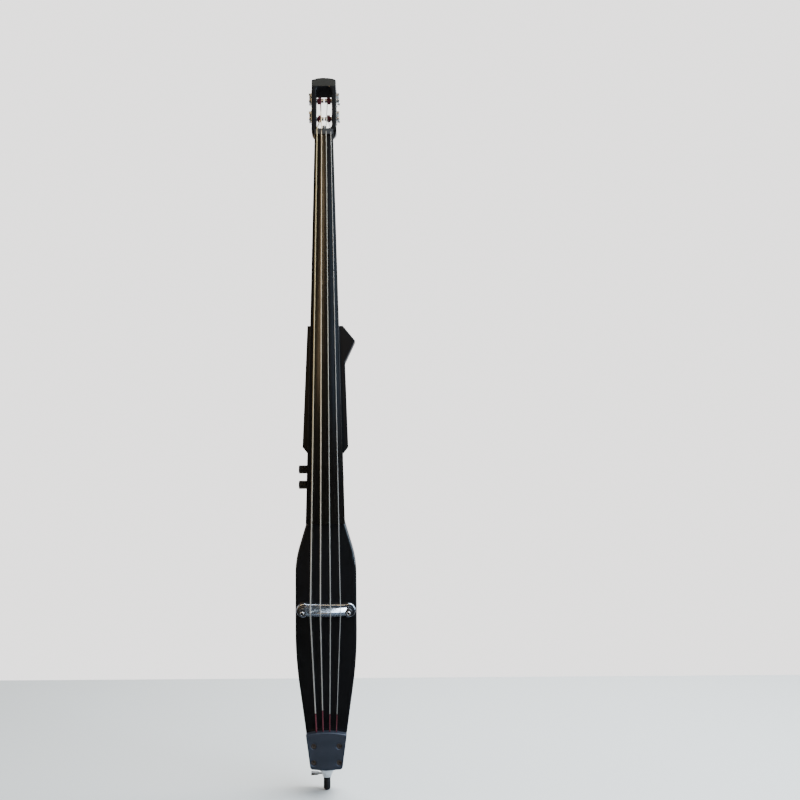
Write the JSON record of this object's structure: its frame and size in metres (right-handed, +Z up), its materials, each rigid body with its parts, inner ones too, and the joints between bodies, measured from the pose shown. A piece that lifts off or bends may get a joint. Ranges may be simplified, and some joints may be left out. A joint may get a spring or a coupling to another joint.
{
  "type": "electric upright bass",
  "caption": "Slim solid-body electric upright bass with slotted head, open-gear tuners, adjustable bridge and a sliding endpin.",
  "frame": {"origin": "bottom of the endpin's rubber tip, on the instrument's centre line", "axes": "+Z up along the strings from the endpin to the head; -Y is the front, where the strings are; -X is the lowest string's side"},
  "size_m": [0.1353, 0.0999, 1.593],
  "materials": {
    "body_lacquer": "high-gloss black lacquer over hardwood",
    "block_lacquer": "satin black lacquer over hardwood",
    "ebony": "oiled dark hardwood, satin",
    "nut_black": "dark hard plastic, satin",
    "tuner_metal": "polished nickel-chrome plate",
    "string_steel": "flat-wound steel ribbon",
    "string_silk": "dark red silk winding over the string's end",
    "steel_fastener": "bright steel",
    "bridge_alloy": "polished",
    "bridge_bush": "black acetal",
    "bridge_steel": "turned steel",
    "tail_alloy": "dark blue-grey satin anodised",
    "collar_alloy": "turned, bright",
    "tip_rubber": "black, moulded",
    "thumb_steel": "plated",
    "knob_black": "black, knurled",
    "pot_steel": "pressed steel",
    "cover_plastic": "black, fine grain",
    "circuit_board": "green laminate",
    "battery_case": "plain 9 volt case",
    "jack_metal": "nickel plated",
    "piezo_brass": "plain",
    "lead_sheath": "black sheath"
  },
  "bodies": {
    "bass": {"body": "body_lacquer", "shoulder_block": "block_lacquer", "block_bolts": "steel_fastener", "neck": "body_lacquer", "headstock": "body_lacquer", "truss_rod": "steel_fastener", "fingerboard": "ebony", "nut": "nut_black", "tuner_plate_e": "tuner_metal", "tuner_plate_a": "tuner_metal", "tuner_plate_d": "tuner_metal", "tuner_plate_g": "tuner_metal", "tuner_bushes": "tuner_metal", "tuner_screws": "tuner_metal", "cavity_cover": "cover_plastic", "cover_screws": "steel_fastener", "volume_pot": "pot_steel", "tone_pot": "pot_steel", "preamp_board": "circuit_board", "battery": "battery_case", "output_jack": "jack_metal", "piezo_discs": "piezo_brass", "pickup_lead": "lead_sheath", "bridge_base": "bridge_alloy", "bridge_screws": "steel_fastener", "string_e": "string_steel", "string_a": "string_steel", "string_d": "string_steel", "string_g": "string_steel", "tail_block": "tail_alloy", "tail_screws": "steel_fastener", "endpin_collar": "collar_alloy", "endpin_socket": "collar_alloy"},
    "key_e": {"tuner_worm_e": "tuner_metal", "tuner_key_e": "tuner_metal"},
    "post_e": {"tuner_post_e": "tuner_metal", "string_coil_e": "string_silk"},
    "key_a": {"tuner_worm_a": "tuner_metal", "tuner_key_a": "tuner_metal"},
    "post_a": {"tuner_post_a": "tuner_metal", "string_coil_a": "string_silk"},
    "key_d": {"tuner_worm_d": "tuner_metal", "tuner_key_d": "tuner_metal"},
    "post_d": {"tuner_post_d": "tuner_metal", "string_coil_d": "string_silk"},
    "key_g": {"tuner_worm_g": "tuner_metal", "tuner_key_g": "tuner_metal"},
    "post_g": {"tuner_post_g": "tuner_metal", "string_coil_g": "string_silk"},
    "volume": {"volume_shaft": "pot_steel", "volume_knob": "knob_black"},
    "tone": {"tone_shaft": "pot_steel", "tone_knob": "knob_black"},
    "bridge_screw_e": {"bridge_post_e": "bridge_steel"},
    "bridge_screw_g": {"bridge_post_g": "bridge_steel"},
    "saddle": {"bridge_bar": "bridge_alloy", "bridge_bushes": "bridge_bush"},
    "endpin": {"endpin_rod": "steel_fastener", "endpin_tip": "tip_rubber"},
    "thumb_screw": {"thumb_screw": "thumb_steel"}
  },
  "joints": [
    {"name": "tuner_key_e", "type": "hinge", "parent": "bass", "child": "key_e", "pos_m": [-0.0323, -0.009, 1.5155], "axis": [0, 1, 0], "continuous": true},
    {"name": "tuner_post_e", "type": "hinge", "parent": "bass", "child": "post_e", "pos_m": [-0.02, -0.009, 1.504], "axis": [1, 0, 0], "continuous": true},
    {"name": "tuner_key_a", "type": "hinge", "parent": "bass", "child": "key_a", "pos_m": [-0.0323, -0.009, 1.5585], "axis": [0, 1, 0], "continuous": true},
    {"name": "tuner_post_a", "type": "hinge", "parent": "bass", "child": "post_a", "pos_m": [-0.02, -0.009, 1.547], "axis": [1, 0, 0], "continuous": true},
    {"name": "tuner_key_d", "type": "hinge", "parent": "bass", "child": "key_d", "pos_m": [0.0323, -0.009, 1.5585], "axis": [0, 1, 0], "continuous": true},
    {"name": "tuner_post_d", "type": "hinge", "parent": "bass", "child": "post_d", "pos_m": [0.02, -0.009, 1.547], "axis": [1, 0, 0], "continuous": true},
    {"name": "tuner_key_g", "type": "hinge", "parent": "bass", "child": "key_g", "pos_m": [0.0323, -0.009, 1.5155], "axis": [0, 1, 0], "continuous": true},
    {"name": "tuner_post_g", "type": "hinge", "parent": "bass", "child": "post_g", "pos_m": [0.02, -0.009, 1.504], "axis": [1, 0, 0], "continuous": true},
    {"name": "volume_knob", "type": "hinge", "parent": "bass", "child": "volume", "pos_m": [-0.05, 0.004, 0.6934], "axis": [1, 0, 0], "range_deg": [-150, 150]},
    {"name": "tone_knob", "type": "hinge", "parent": "bass", "child": "tone", "pos_m": [-0.05, 0.004, 0.659], "axis": [1, 0, 0], "range_deg": [-150, 150]},
    {"name": "bridge_screw_e", "type": "hinge", "parent": "bass", "child": "bridge_screw_e", "pos_m": [-0.0495, -0.05, 0.388], "axis": [0, 1, 0], "range_deg": [-1728, 0]},
    {"name": "bridge_screw_g", "type": "hinge", "parent": "bass", "child": "bridge_screw_g", "pos_m": [0.0495, -0.05, 0.388], "axis": [0, 1, 0], "range_deg": [-1753, 23]},
    {"name": "saddle_height", "type": "slide", "parent": "bass", "child": "saddle", "axis": [0, -1, 0], "range_m": [-0.0061, 0.0001]},
    {"name": "endpin_slide", "type": "slide", "parent": "bass", "child": "endpin", "axis": [0, 0, -1], "range_m": [0, 0.26]},
    {"name": "thumb_screw", "type": "hinge", "parent": "bass", "child": "thumb_screw", "pos_m": [-0.02, 0, 0.034], "axis": [-1, 0, 0], "range_deg": [-360, 0]}
  ],
  "couplings": [
    {"joint": "tuner_post_e", "follows": "tuner_key_e", "ratio": 0.05},
    {"joint": "tuner_post_a", "follows": "tuner_key_a", "ratio": 0.05},
    {"joint": "tuner_post_d", "follows": "tuner_key_d", "ratio": 0.05},
    {"joint": "tuner_post_g", "follows": "tuner_key_g", "ratio": 0.05},
    {"joint": "bridge_screw_g", "follows": "bridge_screw_e", "ratio": 1},
    {"joint": "saddle_height", "follows": "bridge_screw_e", "m_per_rad": 0.00019894}
  ]
}
